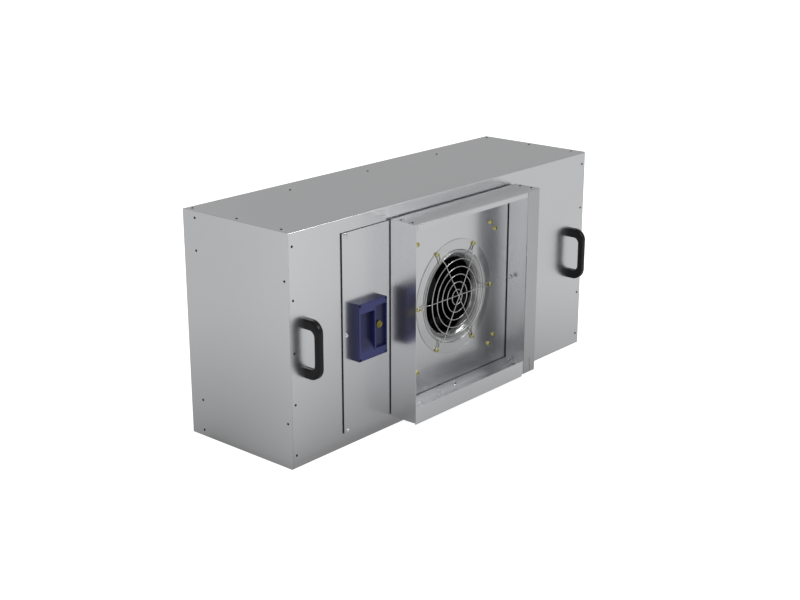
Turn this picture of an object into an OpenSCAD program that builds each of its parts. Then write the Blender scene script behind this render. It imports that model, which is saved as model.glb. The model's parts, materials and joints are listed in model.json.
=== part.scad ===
// Fan filter unit for a clean room ceiling, standing on its long side.
// X runs along the inlet face, Y from the inlet to the outlet, Z up.
// The origin is at the middle of the footprint, on the floor.

/* [Housing] */
// Width of the housing along the inlet face
housing_w = 1175; // [1165:1:1185]
// Height of the housing as it stands
housing_h = 570; // [566:1:580]
// Depth of the housing from inlet face to outlet edge
housing_d = 350; // [345:1:360]
// Thickness of the folded housing sheets
sheet_t = 1.5; // [1.2:0.1:1.8]
// Outer radius of the folds beside the inlet face
fold_r = 4; // [3:0.5:5]
// Width of the flanges turned in along the end panels
flange_w = 20; // [18:1:22]

/* [Access panel and collar] */
// Left edge of the access panel
panel_left = -416; // [-418:1:-412]
// Half width of the collar, and right edge of the access panel
collar_half_w = 250; // [248:1:252]
// Bottom edge of the access panel
panel_low = 35; // [33:1:38]
// Top edge of the access panel
panel_high = 535; // [532:1:537]
// Thickness of the access panel
panel_t = 1.5; // [1.2:0.1:2]
// Thickness of the access panel's gasket
panel_gasket_t = 3; // [2.5:0.5:4]
// Bottom of the collar
collar_low = 33; // [31:1:34]
// Top of the collar
collar_high = 538; // [536:1:540]
// Reach of the collar in front of the housing
collar_d = 87; // [82:1:92]
// Thickness of the gasket under the collar
collar_gasket_t = 3; // [2.5:0.5:4]
// Width of the collar's base flanges
base_flange_w = 25; // [23:1:27]
// Width of the right wall's front lip
right_lip_w = 52; // [48:1:56]
// Height of the bottom wall's front lip
bottom_lip_h = 40; // [36:1:44]
// Height of the top wall's front lip
top_lip_h = 15; // [12:1:18]

/* [Inlet and fan] */
// Height of the fan's axis above the floor
axis_z = 285; // [283:1:287]
// Radius of the inlet nozzle's throat
throat_r = 93; // [90:1:95]
// Radius of the round lip of the nozzle
lip_r = 33; // [30:1:35]
// Radius of the nozzle's flange
nozzle_flange_r = 152; // [150:1:154]
// Radius of the circle of guard screws
guard_screw_r = 146.5; // [145:0.5:148]
// Diameter of the guard's wire
wire_d = 2.5; // [2:0.1:3]
// Spacing of the guard's rings
ring_pitch = 20; // [19:0.5:20.5]
// Radius of the impeller
impeller_r = 155; // [150:1:158]
// Number of impeller blades
blade_count = 7; // [5:1:9]

/* [Handles] */
// Distance of each handle from the middle
handle_x = 532; // [528:1:535]
// Height of a handle
handle_h = 145; // [142:1:150]
// Reach of a handle in front of the housing
handle_d = 45; // [42:1:48]
// Width of a handle's grip
handle_w = 18; // [16:1:20]
// Radius of a handle's shoulders
handle_r = 30; // [26:1:32]

/* [Controller] */
// Width of the controller box
control_w = 101; // [100:1:103]
// Height of the controller box
control_h = 144; // [142:1:146]
// Depth of the controller box
control_d = 22; // [21.5:0.5:24]
// Diameter of the speed knob
knob_d = 18; // [16:1:20]

/* [Filter] */
// Depth of the filter
filter_d = 69; // [66:1:70]
// Distance between two pleats of the filter medium
pleat_pitch = 16; // [12:1:20]

/* [Hidden] */
$fn = 48;
eps = 0.5;
half_w = housing_w / 2;
face_y = (collar_d - housing_d) / 2;
side_gap = 0.5;
wrap_half_w = half_w - sheet_t - side_gap;
inner_low = sheet_t;
inner_high = housing_h - sheet_t;

panel_back = -panel_gasket_t;
panel_face = panel_back - panel_t;
opening_margin = 17;
opening_left = panel_left + 30;
opening_right = collar_half_w - opening_margin;
opening_low = panel_low + opening_margin;
opening_high = panel_high - opening_margin;

collar_seat = panel_face - collar_gasket_t;
collar_front = -collar_d;
slit_high = 75;
slit_x = collar_half_w - 26;
slit_w = 4;
lip_drop = 3;
lip_end_x = collar_half_w - right_lip_w;

nozzle_t = 1;
nozzle_front = panel_face - nozzle_t;
nozzle_r = throat_r + lip_r;
nozzle_end = nozzle_front + lip_r + 17;

guard_ring_y = nozzle_front - 8;
guard_wire_y = guard_ring_y - wire_d + 0.3;
guard_foot_y = nozzle_front - wire_d / 2;
guard_side = 4.5;
guard_bend_in = 114;
guard_bend_out = 130;
guard_angles = [0, 60, 120];
ring_count = 5;

eye_r = throat_r + nozzle_t + 4;
shroud_t = 1.6;
shroud_front = nozzle_end - 7;
shroud_bend_r = 30;
shroud_slope = 68;
back_y = 152;
hub_hole_r = 53;
back_t = 2;
rotor_r = 52;
rotor_t = 3;
rotor_front = 96;
rotor_flange_r = 66;
shaft_r = 5;
bearing_gap = 0.05;
bearing_r = 13;
bearing_w = 8;
stator_r = rotor_r - rotor_t - 0.8;
stator_front = 102;
stator_base_r = 60;
bracket_y = 180;
bracket_t = 3;
leg_r = 210;
leg_w = 50;
foot_l = 30;
foot_screw_r = 223.5;
foot_screw_side = 14.5;
rotor_screw_r = 60;
stator_screw_r = 50;
spoke_hole_r = 12;
spoke_hole_at = 110;
hub_vent_r = 20;
bracket_hub_r = 76;

baffle_y = 216;
baffle_t = 1.5;
baffle_w = 620;
baffle_h = 380;

seat_y = 270;
seat_t = 1.5;
seat_w = 25;
seat_leg_d = 74;
filter_gasket_t = 6;
filter_gasket_w = 15;
filter_y = seat_y + seat_t + filter_gasket_t;
filter_gap = 12;
filter_half_w = half_w - filter_gap - seat_t;
filter_low = filter_gap + seat_t;
filter_high = housing_h - filter_low;
rail_w = 18;
rail_t = 1.5;
guard_sheet_t = 1;
grille_columns = 24;
grille_rows = 11;
grille_rib = 4;
clip_t = 1.5;
clip_w = 20;

liner_t = 20;
liner_front = 8;
liner_back = 262;

rivet_r = 2;
rivet_head_r = 3.2;
rivet_head_h = 1;
front_rivet_x = 574;
front_rivet_z = [for (i = [-2:2]) axis_z + 126 * i];
top_rivet_x = 570;
top_rivet_y = [36, 182, 335];
seat_rivet_y = 294;
seat_rivet_x = [-287, 0, 287];
side_rivet_y = 308;
side_rivet_z = [16, 95, 474, 554];
angle_rivet_y = 12.5;
angle_rivet_z = [axis_z - 172, axis_z + 172];

angle_inner_x = 510;
angle_d = 22;
angle_low = 95;
angle_high = 475;

control_x = -335.5;
control_z = 288;
control_base_t = 4;
control_back = panel_face;
control_front = control_back - control_d;
scoop_x = -354.5;
scoop_w = 49;
scoop_low = 234;
scoop_high = 335;
scoop_d = 15;
scoop_ramp = 33;
window_x = -307;
window_w = 37;
window_low = 237;
window_high = 344;
window_d = 8;
knob_x = -310;
knob_z = 293;
knob_h = 7;
knob_shaft_r = 3;
grommet_x = -308;
grommet_z = 236;
cable_r = 3.5;

access_screw_x = -405;
access_screw_z = [41, 285, 529];
collar_screw_x = collar_half_w - 12.5;
collar_screw_low = collar_low + 14;
collar_screw_high = collar_high - 14;
m5 = 2.5;
m6 = 3;

handle_z = 287;
handle_leg = 25;
handle_grip = 15.5;
handle_pitch = handle_h - handle_leg;
m4 = 2;
outer_ring_r = 121;
outer_ring_y = guard_ring_y + 3.6;
stator_base_y = back_y + back_t + 2;
front_bearing_y = stator_front + 2;
rear_bearing_y = stator_base_y + 3;
bearing_tube_r = 9;
shaft_end = rear_bearing_y + bearing_w + 4;
blade_in_r = 88;
blade_t = 2.5;
post_r = 167;
pleat_rise = 7;
clip_wall = inner_high - seat_t;
clip_screw_r = 2;
clip_screw_y = 333;
collar_tab_w = 20;
collar_tab_front = -76;
collar_tab_back = -18;
collar_rivet_x = collar_half_w - 11;
collar_rivet_y = [-66, -30];
corner_gap = 6;
corner_gap_back = -57;
slot_x0 = 203;
slot_x1 = 246;
slot_front = -15.5;
slot_back = -12;
control_screw_in = 4.8;
control_screw_x = control_w / 2 - control_screw_in;
control_screw_z = control_h / 2 - control_screw_in;
control_corner_r = 3.5;
grommet_r = 7;
board_t = 1.6;
board_half_h = 57;
board_face = control_back - control_base_t - board_t;
dial_bush_r = 4.5;

// A sheet standing across Y, from y to y + t behind the inlet face; children give its outline in X and Z.
module sheet(y, t) {
    translate([0, face_y + y + t, 0]) rotate([90, 0, 0]) linear_extrude(t) children();
}

// Puts children on the point x, z of the plane y behind the inlet face, with their +Z towards the front.
module facing_front(x, y, z) {
    translate([x, face_y + y, z]) rotate([90, 0, 0]) children();
}

// Puts children on the fan's axis, with their +Z towards the outlet and Z counted from the inlet face.
module on_axis() {
    translate([0, face_y, axis_z]) rotate([-90, 0, 0]) children();
}

// A block between two depths behind the inlet face.
module slab(x0, x1, y0, y1, z0, z1) {
    translate([x0, face_y + y0, z0]) cube([x1 - x0, y1 - y0, z1 - z0]);
}

// A rectangle given by its edges.
module area(x0, x1, z0, z1) {
    translate([x0, z0]) square([x1 - x0, z1 - z0]);
}

// A rectangle with round corners, made of true arcs.
module round_area(x0, x1, z0, z1, r) {
    area(x0 + r, x1 - r, z0, z1);
    area(x0, x1, z0 + r, z1 - r);
    for (x = [x0 + r, x1 - r], z = [z0 + r, z1 - r]) translate([x, z]) circle(r);
}

// The part of a ring between two angles.
module arc_band(r, t, a0, a1) {
    far = 2 * (r + t);
    intersection() {
        difference() {
            circle(r + t);
            circle(r);
        }
        polygon([[0, 0], [far * cos(a0), far * sin(a0)], [far * cos((a0 + a1) / 2), far * sin((a0 + a1) / 2)],
            [far * cos(a1), far * sin(a1)]]);
    }
}

// A screw with a domed head above z = 0, a hexagon socket and a plain shank below it.
module socket_screw(r, head_r, head_h, length) {
    difference() {
        rotate_extrude() polygon([[0, -length], [r, -length], [r, 0], [head_r, 0], [head_r, head_h * 0.55],
            [head_r * 0.8, head_h * 0.9], [head_r * 0.55, head_h], [0, head_h]]);
        translate([0, 0, head_h * 0.4]) cylinder(r = head_r * 0.45, h = head_h, $fn = 6);
    }
}

// A blind rivet: a low head with the mouth of its mandrel, a shank and the bulb behind the sheets.
module rivet(grip, head_h) {
    bulb_h = 2.5;
    bulb_r = rivet_head_r * 0.9;
    mouth_r = rivet_r * 0.55;
    mouth_d = 0.8;
    head_r = head_h > 0 ? rivet_head_r : rivet_r;
    crown_r = head_h > 0 ? rivet_head_r * 0.75 : rivet_r;
    rotate_extrude() polygon([[0, -grip - bulb_h], [rivet_r, -grip - bulb_h], [bulb_r, -grip - bulb_h / 2],
        [bulb_r, -grip], [rivet_r, -grip], [rivet_r, 0], [head_r, 0], [crown_r, head_h], [mouth_r, head_h],
        [mouth_r, head_h - mouth_d], [0, head_h - mouth_d]]);
}

// Places children at every rivet of the shell, with their +Z outwards.
// $grip is the thickness that the rivet holds.
module at_shell_rivets() {
    for (s = [-1, 1]) {
        for (z = front_rivet_z) {
            $grip = (z > angle_low && z < angle_high) ? 3 * sheet_t : 2 * sheet_t;
            facing_front(s * front_rivet_x, 0, z) children();
        }
        for (y = top_rivet_y) {
            $grip = sheet_t + (y > seat_y ? seat_t : sheet_t);
            translate([s * top_rivet_x, face_y + y, housing_h]) children();
        }
        for (z = side_rivet_z) {
            $grip = sheet_t + seat_t;
            translate([s * half_w, face_y + side_rivet_y, z]) rotate([0, s * 90, 0]) children();
        }
        for (z = angle_rivet_z) {
            $grip = 2 * sheet_t;
            translate([s * half_w, face_y + angle_rivet_y, z]) rotate([0, s * 90, 0]) children();
        }
    }
    for (x = seat_rivet_x) {
        $grip = sheet_t + seat_t;
        translate([x, face_y + seat_rivet_y, housing_h]) children();
    }
}

// The same along the floor side, where the rivets are flush.
module at_floor_rivets() {
    for (s = [-1, 1], y = top_rivet_y) {
        $grip = sheet_t + (y > seat_y ? seat_t : sheet_t);
        translate([s * top_rivet_x, face_y + y, 0]) rotate([180, 0, 0]) children();
    }
    for (x = seat_rivet_x) {
        $grip = sheet_t + seat_t;
        translate([x, face_y + seat_rivet_y, 0]) rotate([180, 0, 0]) children();
    }
}

// The drillings for all of them.
module rivet_holes() {
    at_shell_rivets() translate([0, 0, -8]) cylinder(r = rivet_r, h = 10);
    at_floor_rivets() translate([0, 0, -8]) cylinder(r = rivet_r, h = 10);
}

// Outline of the housing seen from its end, rounded at the two folds beside the inlet face.
module end_outline(inset, r, past) {
    y0 = face_y + inset;
    y1 = face_y + housing_d + past;
    area(y0 + r, y1, inset, housing_h - inset);
    area(y0, y1, inset + r, housing_h - inset - r);
    for (z = [inset + r, housing_h - inset - r]) translate([y0 + r, z]) circle(r);
}

// Carries an outline in Y and Z along X, from x0 to x1.
module along_x(x0, x1) {
    translate([x0, 0, 0]) rotate([90, 0, 90]) linear_extrude(x1 - x0) children();
}

// Places children on the screws that hold the access panel.
module at_access_screws(y) {
    for (z = access_screw_z) facing_front(access_screw_x, y, z) children();
}

// Places children on the screws round the foot of the collar.
module at_collar_screws(y) {
    for (s = [-1, 1], z = [collar_screw_low, axis_z, collar_screw_high])
        facing_front(s * collar_screw_x, y, z) children();
    for (z = [collar_screw_low, collar_screw_high]) facing_front(0, y, z) children();
}

// Places children on the screws of both handles.
module at_handle_screws(y) {
    for (s = [-1, 1], k = [-1, 1]) facing_front(s * handle_x, y, handle_z + k * handle_pitch / 2) children();
}

// A drilling that runs right through whatever lies within 30 of its plane.
module drill(r) {
    translate([0, 0, -30]) cylinder(r = r, h = 60);
}

// One sheet folded round the inlet face, the top and the floor side.
module wrap_sheet() {
    color("lightsteelblue") difference() {
        along_x(-wrap_half_w, wrap_half_w) difference() {
            end_outline(0, fold_r, 0);
            end_outline(sheet_t, fold_r - sheet_t, eps);
        }
        sheet(-eps, sheet_t + 2 * eps) area(opening_left, opening_right, opening_low, opening_high);
        at_handle_screws(0) drill(m6);
        at_access_screws(0) drill(m5);
        at_collar_screws(0) drill(m5);
        rivet_holes();
    }
}

// The right end panel: a plate with flanges turned in behind the front, the top and the floor sheet.
module end_panel() {
    inner = half_w - sheet_t;
    color("silver") difference() {
        union() {
            along_x(inner, half_w) end_outline(0, fold_r, 0);
            slab(inner - flange_w, inner, sheet_t, 2 * sheet_t, fold_r, housing_h - fold_r);
            for (z = [sheet_t, inner_high - sheet_t])
                slab(inner - flange_w, inner, fold_r, seat_y - 2, z, z + sheet_t);
        }
        rivet_holes();
    }
}

module end_panel_right() { end_panel(); }
module end_panel_left() { mirror([1, 0, 0]) end_panel(); }

// The right stiffening angle that carries a handle, stepped over the end panel's flange.
module handle_angle() {
    inner = half_w - sheet_t;
    step_x = inner - flange_w - 5;
    color("silver") difference() {
        union() {
            slab(angle_inner_x, step_x, sheet_t, 2 * sheet_t, angle_low, angle_high);
            slab(step_x - sheet_t, step_x, sheet_t, 3 * sheet_t, angle_low, angle_high);
            slab(step_x - sheet_t, inner, 2 * sheet_t, 3 * sheet_t, angle_low, angle_high);
            slab(inner - sheet_t, inner, 2 * sheet_t, angle_d, angle_low, angle_high);
        }
        at_handle_screws(0) drill(m6);
        rivet_holes();
    }
}

module handle_angle_right() { handle_angle(); }
module handle_angle_left() { mirror([1, 0, 0]) handle_angle(); }

// Every blind rivet of the shell.
module shell_rivets() {
    color("dimgray") {
        at_shell_rivets() rivet($grip, rivet_head_h);
        at_floor_rivets() rivet($grip, 0);
    }
}

// The welded angle frame inside the housing that the filter presses against.
module filter_seat() {
    x = half_w - sheet_t;
    color("silver") difference() {
        union() {
            sheet(seat_y, seat_leg_d) difference() {
                area(-x, x, inner_low, inner_high);
                area(seat_t - x, x - seat_t, inner_low + seat_t, inner_high - seat_t);
            }
            sheet(seat_y, seat_t) difference() {
                area(-x, x, inner_low, inner_high);
                area(seat_w - x, x - seat_w, inner_low + seat_w, inner_high - seat_w);
            }
        }
        rivet_holes();
        at_clips() translate([0, clip_screw_y, -eps]) cylinder(r = clip_screw_r, h = seat_t + 2 * eps);
    }
}

module liner_top() {
    x = half_w - sheet_t - flange_w - 6;
    color("dimgray") slab(-x, x, liner_front, liner_back, inner_high - liner_t, inner_high);
}

module liner_bottom() {
    x = half_w - sheet_t - flange_w - 6;
    color("dimgray") slab(-x, x, liner_front, liner_back, inner_low, inner_low + liner_t);
}

// The lining of the right end panel.
module end_liner() {
    x = half_w - sheet_t;
    room = liner_t + 4;
    color("dimgray") slab(x - liner_t, x, angle_d + 6, liner_back, inner_low + room, inner_high - room);
}

module liner_right() { end_liner(); }
module liner_left() { mirror([1, 0, 0]) end_liner(); }

module access_gasket() {
    edge = 1.5;
    color("black") difference() {
        sheet(panel_back, panel_gasket_t) difference() {
            area(panel_left + edge, collar_half_w - edge, panel_low + edge, panel_high - edge);
            area(opening_left, opening_right, opening_low, opening_high);
        }
        at_access_screws(0) drill(m5);
        at_collar_screws(0) drill(m5);
    }
}

// Places children on the screws that clamp the finger guard.
module at_guard_screws(y) {
    for (a = [0:60:300])
        facing_front(guard_screw_r * cos(a), y, axis_z + guard_screw_r * sin(a)) children();
}

// Places children on the pairs of screws that hold the feet of the fan bracket.
module at_bracket_screws(y) {
    for (a = [45:90:315], s = [-1, 1]) facing_front(
        foot_screw_r * cos(a) - s * foot_screw_side * sin(a), y,
        axis_z + foot_screw_r * sin(a) + s * foot_screw_side * cos(a)) children();
}

// Places children on the corner screws of the controller.
module at_controller_screws(y) {
    for (s = [-1, 1], k = [-1, 1])
        facing_front(control_x + s * control_screw_x, y, control_z + k * control_screw_z) children();
}

module access_panel() {
    color("lightsteelblue") difference() {
        sheet(panel_face, panel_t) area(panel_left, collar_half_w, panel_low, panel_high);
        facing_front(0, 0, axis_z) drill(nozzle_r + 1);
        facing_front(grommet_x, 0, grommet_z) drill(grommet_r);
        at_access_screws(0) drill(m5);
        at_collar_screws(0) drill(m5);
        at_guard_screws(0) drill(m5);
        at_bracket_screws(0) drill(m6);
        at_controller_screws(0) drill(m4);
    }
}

module access_screws() {
    color("silver") at_access_screws(panel_face) socket_screw(m5, 5.5, 4, 9);
}

module collar_gasket() {
    edge = 2;
    inner = base_flange_w - 3;
    color("black") difference() {
        sheet(collar_seat, collar_gasket_t) difference() {
            area(edge - collar_half_w, collar_half_w - edge, panel_low + edge, panel_high - edge);
            area(inner - collar_half_w, collar_half_w - inner, collar_low + inner, collar_high - inner);
        }
        at_collar_screws(0) drill(m5);
    }
}

// Section of one collar wall: v runs inwards from its outer face and u forwards from its foot.
module wall_section(lip) {
    wall_d = collar_front - collar_seat;
    depth = -wall_d;
    square([base_flange_w, sheet_t]);
    if (lip > 0) {
        square([sheet_t, depth - fold_r]);
        translate([fold_r, depth - fold_r]) arc_band(fold_r - sheet_t, sheet_t, 90, 180);
        translate([fold_r, depth - sheet_t]) square([lip - fold_r, sheet_t]);
    } else {
        square([sheet_t, depth]);
    }
}

// Places the section of a wall against the left, right, top or bottom side of the collar.
module upright(x, side) {
    h = collar_high - collar_low - 2 * sheet_t;
    translate([x, face_y + collar_seat, collar_low + sheet_t]) linear_extrude(h)
        mirror([0, 1]) mirror([side, 0]) children();
}

// The tabs by which an upright wall is riveted to the top and the bottom wall.
module collar_tabs() {
    x = collar_half_w;
    for (z = [collar_low + sheet_t, collar_high - 2 * sheet_t])
        slab(x - collar_tab_w, x - sheet_t, collar_tab_front, collar_tab_back, z, z + sheet_t);
}

// Places children on the rivets of the four corners, with their +Z outwards.
module at_collar_rivets() {
    for (s = [-1, 1], y = collar_rivet_y) {
        translate([s * collar_rivet_x, face_y + y, collar_high]) children();
        translate([s * collar_rivet_x, face_y + y, collar_low]) rotate([180, 0, 0]) children();
    }
}

module collar_left() {
    color("silver") difference() {
        union() {
            upright(-collar_half_w, 0) wall_section(0);
            mirror([1, 0, 0]) collar_tabs();
        }
        at_collar_screws(0) drill(m5);
        at_collar_rivets() drill(rivet_r);
    }
}

module collar_right() {
    color("silver") difference() {
        union() {
            upright(collar_half_w, 1) wall_section(right_lip_w);
            collar_tabs();
        }
        slab(slit_x - slit_w / 2, slit_x + slit_w / 2, collar_front - eps, collar_front + sheet_t + eps,
            0, slit_high);
        at_collar_screws(0) drill(m5);
        at_collar_rivets() drill(rivet_r);
    }
}

// The ends cut from a base flange to leave room for those of the two upright walls.
module flange_ends(z0, z1) {
    inner = collar_half_w - base_flange_w;
    for (x = [-collar_half_w - eps, inner])
        slab(x, x + base_flange_w + eps, collar_seat - sheet_t - eps, collar_seat + eps, z0, z1);
}

// The top wall, open at its left front corner and with a slot at its foot on the right.
module collar_top() {
    x = collar_half_w;
    top = collar_high;
    color("silver") difference() {
        translate([0, face_y + collar_seat, top]) along_x(-x, x)
            mirror([1, 0]) rotate(-90) wall_section(top_lip_h);
        slab(lip_end_x - 3, x + eps, collar_front - eps, collar_front + fold_r, 0, top - sheet_t);
        slab(-x - eps, corner_gap - x, collar_front - eps, corner_gap_back, top - top_lip_h - eps, top + eps);
        flange_ends(top - base_flange_w - eps, top - sheet_t);
        slab(slot_x0, slot_x1, slot_front, slot_back, top - 3, top + eps);
        at_collar_screws(0) drill(m5);
        at_collar_rivets() drill(rivet_r);
    }
}

// The bottom wall, whose lip hangs a little lower than the wall.
module collar_bottom() {
    x = collar_half_w;
    color("silver") difference() {
        union() {
            translate([0, face_y + collar_seat, collar_low]) along_x(-x, x)
                rotate(90) wall_section(bottom_lip_h);
            slab(-x, lip_end_x - 6, collar_front, collar_front + sheet_t, collar_low - lip_drop,
                collar_low + fold_r);
        }
        slab(lip_end_x - 3, x + eps, collar_front - eps, collar_front + fold_r, collar_low + sheet_t,
            collar_high);
        slab(-x - eps, sheet_t - x, collar_front - eps, collar_front + fold_r, collar_low + sheet_t,
            collar_high);
        flange_ends(collar_low + sheet_t, collar_low + base_flange_w + eps);
        at_collar_screws(0) drill(m5);
        at_collar_rivets() drill(rivet_r);
    }
}

module collar_screws() {
    color("silver") at_collar_screws(collar_seat - sheet_t) socket_screw(m5, 5.5, 4, 14);
}

module collar_rivets() {
    color("dimgray") at_collar_rivets() rivet(2 * sheet_t, rivet_head_h);
}

// The spun nozzle: a flat flange, a quarter-round lip and a short throat.
module inlet_nozzle() {
    lip_back = nozzle_front + lip_r;
    color("gainsboro") difference() {
        on_axis() rotate_extrude() {
            translate([nozzle_r, nozzle_front]) square([nozzle_flange_r - nozzle_r, nozzle_t]);
            translate([nozzle_r, lip_back]) arc_band(lip_r - nozzle_t, nozzle_t, 180, 270);
            translate([throat_r, lip_back]) square([nozzle_t, nozzle_end - lip_back]);
        }
        at_guard_screws(0) drill(m5);
    }
}

// A straight piece of wire between two points of the plane through the fan's axis, at the side v.
module wire(u0, y0, u1, y1, v) {
    run = [u1 - u0, y1 - y0];
    lap = 0.4;
    translate([u0, v, y0]) rotate([0, atan2(run[0], run[1]), 0]) translate([0, 0, -lap])
        cylinder(d = wire_d, h = norm(run) + 2 * lap);
}

// A ring of the finger guard.
module wire_ring(r, y) {
    translate([0, 0, y]) rotate_extrude() translate([r, 0]) circle(d = wire_d, $fn = 24);
}

// One end of a guard wire: it drops to the panel, turns round a screw and comes back to the outer ring.
module guard_loop() {
    wire(guard_bend_in, guard_wire_y, guard_bend_out, guard_foot_y, guard_side);
    for (v = [-guard_side, guard_side]) wire(guard_bend_out, guard_foot_y, guard_screw_r, guard_foot_y, v);
    wire(outer_ring_r, outer_ring_y, guard_bend_out, guard_foot_y, -guard_side);
    translate([guard_screw_r, 0, guard_foot_y]) rotate([0, 0, -90]) rotate_extrude(angle = 180)
        translate([guard_side, 0]) circle(d = wire_d, $fn = 24);
}

// Three wires crossing near the middle, each hooked round two screws, on rings of round wire.
module finger_guard() {
    color("gainsboro") on_axis() {
        for (i = [1:ring_count]) wire_ring(i * ring_pitch, guard_ring_y);
        wire_ring(outer_ring_r, outer_ring_y);
        for (a = guard_angles) rotate(a) {
            wire(-guard_bend_in, guard_wire_y, guard_bend_in, guard_wire_y, guard_side);
            guard_loop();
            mirror([1, 0, 0]) guard_loop();
        }
    }
}

module guard_screws() {
    color("khaki") at_guard_screws(nozzle_front - wire_d) socket_screw(m5, 5.5, 3.5, 10);
}

module bracket_screws() {
    color("khaki") at_bracket_screws(panel_face) socket_screw(m6, 5.8, 4.5, 10);
}

// A pressed spider with four legs folded forward to the access panel.
module fan_bracket() {
    foot_y = panel_back;
    leg_l = bracket_y + bracket_t - foot_y;
    color("silver") difference() {
        on_axis() {
            translate([0, 0, bracket_y]) cylinder(r = bracket_hub_r, h = bracket_t);
            for (a = [45:90:315]) rotate(a) {
                translate([0, -leg_w / 2, bracket_y]) cube([leg_r + bracket_t, leg_w, bracket_t]);
                translate([leg_r, -leg_w / 2, foot_y]) cube([bracket_t, leg_w, leg_l]);
                translate([leg_r, -leg_w / 2, foot_y]) cube([foot_l, leg_w, bracket_t]);
            }
        }
        on_axis() {
            translate([0, 0, bracket_y - 1]) cylinder(r = hub_vent_r, h = bracket_t + 2);
            for (a = [45:90:315]) rotate(a) {
                translate([spoke_hole_at, 0, bracket_y - 1]) cylinder(r = spoke_hole_r, h = bracket_t + 2);
                translate([stator_screw_r, 0, bracket_y - 1]) cylinder(r = m5, h = bracket_t + 2);
                translate([post_r, 0, bracket_y - 1]) cylinder(r = m5, h = bracket_t + 2);
            }
        }
        at_bracket_screws(0) drill(m6);
    }
}

// The still half of the outer-rotor motor: core, bearing tube and electronics housing.
module motor_stator() {
    color("dimgray") difference() {
        on_axis() rotate_extrude() polygon([[bearing_r, stator_front], [stator_r, stator_front],
            [stator_r, back_y - 4], [30, back_y - 4], [30, stator_base_y], [stator_base_r - 3, stator_base_y],
            [stator_base_r, stator_base_y + 3], [stator_base_r, bracket_y], [bearing_r, bracket_y],
            [bearing_r, rear_bearing_y], [bearing_tube_r, rear_bearing_y],
            [bearing_tube_r, front_bearing_y + bearing_w], [bearing_r, front_bearing_y + bearing_w]]);
        on_axis() for (a = [45:90:315]) rotate(a) translate([stator_screw_r, 0, bracket_y - 10])
            cylinder(r = m5, h = 11);
    }
}

module stator_screws() {
    color("silver") on_axis() for (a = [45:90:315]) rotate(a)
        translate([stator_screw_r, 0, bracket_y + bracket_t]) socket_screw(m5, 4.5, 4, bracket_t + 9);
}

// A ball bearing, closed by its shields.
module bearing(y) {
    color("gray") on_axis() rotate_extrude() polygon([[shaft_r + bearing_gap, y], [8, y], [8, y + 0.4],
        [10.5, y + 0.4], [10.5, y], [bearing_r, y], [bearing_r, y + bearing_w], [10.5, y + bearing_w],
        [10.5, y + bearing_w - 0.4], [8, y + bearing_w - 0.4], [8, y + bearing_w],
        [shaft_r + bearing_gap, y + bearing_w]]);
}

module front_bearing() { bearing(front_bearing_y); }
module rear_bearing() { bearing(rear_bearing_y); }

module motor_shaft() {
    shaft_l = shaft_end - rotor_front;
    color("silver") on_axis() translate([0, 0, rotor_front]) cylinder(r = shaft_r, h = shaft_l);
}

// The turning cup of the motor, with the flange that carries the impeller.
module motor_rotor() {
    color("black") difference() {
        on_axis() rotate_extrude() polygon([[shaft_r, rotor_front], [rotor_r - 5, rotor_front],
            [rotor_r, rotor_front + 5], [rotor_r, back_y - back_t], [rotor_flange_r, back_y - back_t],
            [rotor_flange_r, back_y], [rotor_r - rotor_t, back_y], [rotor_r - rotor_t, rotor_front + 6],
            [rotor_r - rotor_t - 3, rotor_front + rotor_t], [shaft_r, rotor_front + rotor_t]]);
        on_axis() for (a = [0:60:300]) rotate(a) translate([rotor_screw_r, 0, back_y - 6])
            cylinder(r = m4, h = 10);
    }
}

module impeller_backplate() {
    color("black") difference() {
        on_axis() translate([0, 0, back_y]) cylinder(r = impeller_r, h = back_t, $fn = 96);
        on_axis() translate([0, 0, back_y - 1]) cylinder(r = hub_hole_r, h = back_t + 2);
        on_axis() for (a = [0:60:300]) rotate(a) translate([rotor_screw_r, 0, back_y - 1])
            cylinder(r = m4, h = back_t + 2);
    }
}

// The inner face of the shroud: where its bend ends and where its cone reaches the rim.
bend_z = shroud_front + 10;
bend_x = eye_r + shroud_bend_r;
bend_angle = 180 - shroud_slope;
bend_steps = 12;
cone_start = [bend_x + shroud_bend_r * cos(bend_angle), bend_z + shroud_bend_r * sin(bend_angle)];
cone_run = [sin(bend_angle), -cos(bend_angle)];
cone_inward = [-cos(bend_angle), -sin(bend_angle)];
cone_length = (impeller_r - cone_start[0]) / cone_run[0];
cone_end = cone_start + cone_length * cone_run;

// The line that runs along the eye, round the bend and down the cone, at the distance t from the inner face.
function shroud_line(t) = concat([[eye_r + t, shroud_front]],
    [for (k = [0:bend_steps]) let (a = 180 - k * shroud_slope / bend_steps)
        [bend_x + (shroud_bend_r - t) * cos(a), bend_z + (shroud_bend_r - t) * sin(a)]],
    [cone_end + t * cone_inward]);

// The shroud: a short eye, a round bend and a cone to the rim, spun as one wall.
module impeller_shroud() {
    outer = shroud_line(shroud_t);
    last = len(outer) - 1;
    color("black") on_axis() rotate_extrude($fn = 96)
        polygon(concat(shroud_line(0), [for (i = [last:-1:0]) outer[i]]));
}

// The ring of space between shroud and back plate that the blades fill.
module blade_space() {
    rotate_extrude($fn = 96) difference() {
        polygon([[blade_in_r, back_y], [eye_r + 3, bend_z + 10], cone_start,
            cone_end - 2 * cone_run, [cone_end[0] - 2 * cone_run[0], back_y]]);
        translate([bend_x, bend_z]) circle(shroud_bend_r, $fn = 96);
    }
}

// Backward-curved blades, each an arc cut to the space between shroud and back plate.
module impeller_blades() {
    arc_r = 100;
    arc_x = 95;
    color("black") on_axis() for (i = [0:blade_count - 1]) rotate(i * 360 / blade_count) intersection() {
        translate([0, 0, bend_z]) linear_extrude(back_y - bend_z) translate([arc_x, 0])
            arc_band(arc_r, blade_t, 74, 130, $fn = 96);
        blade_space();
    }
}

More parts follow.
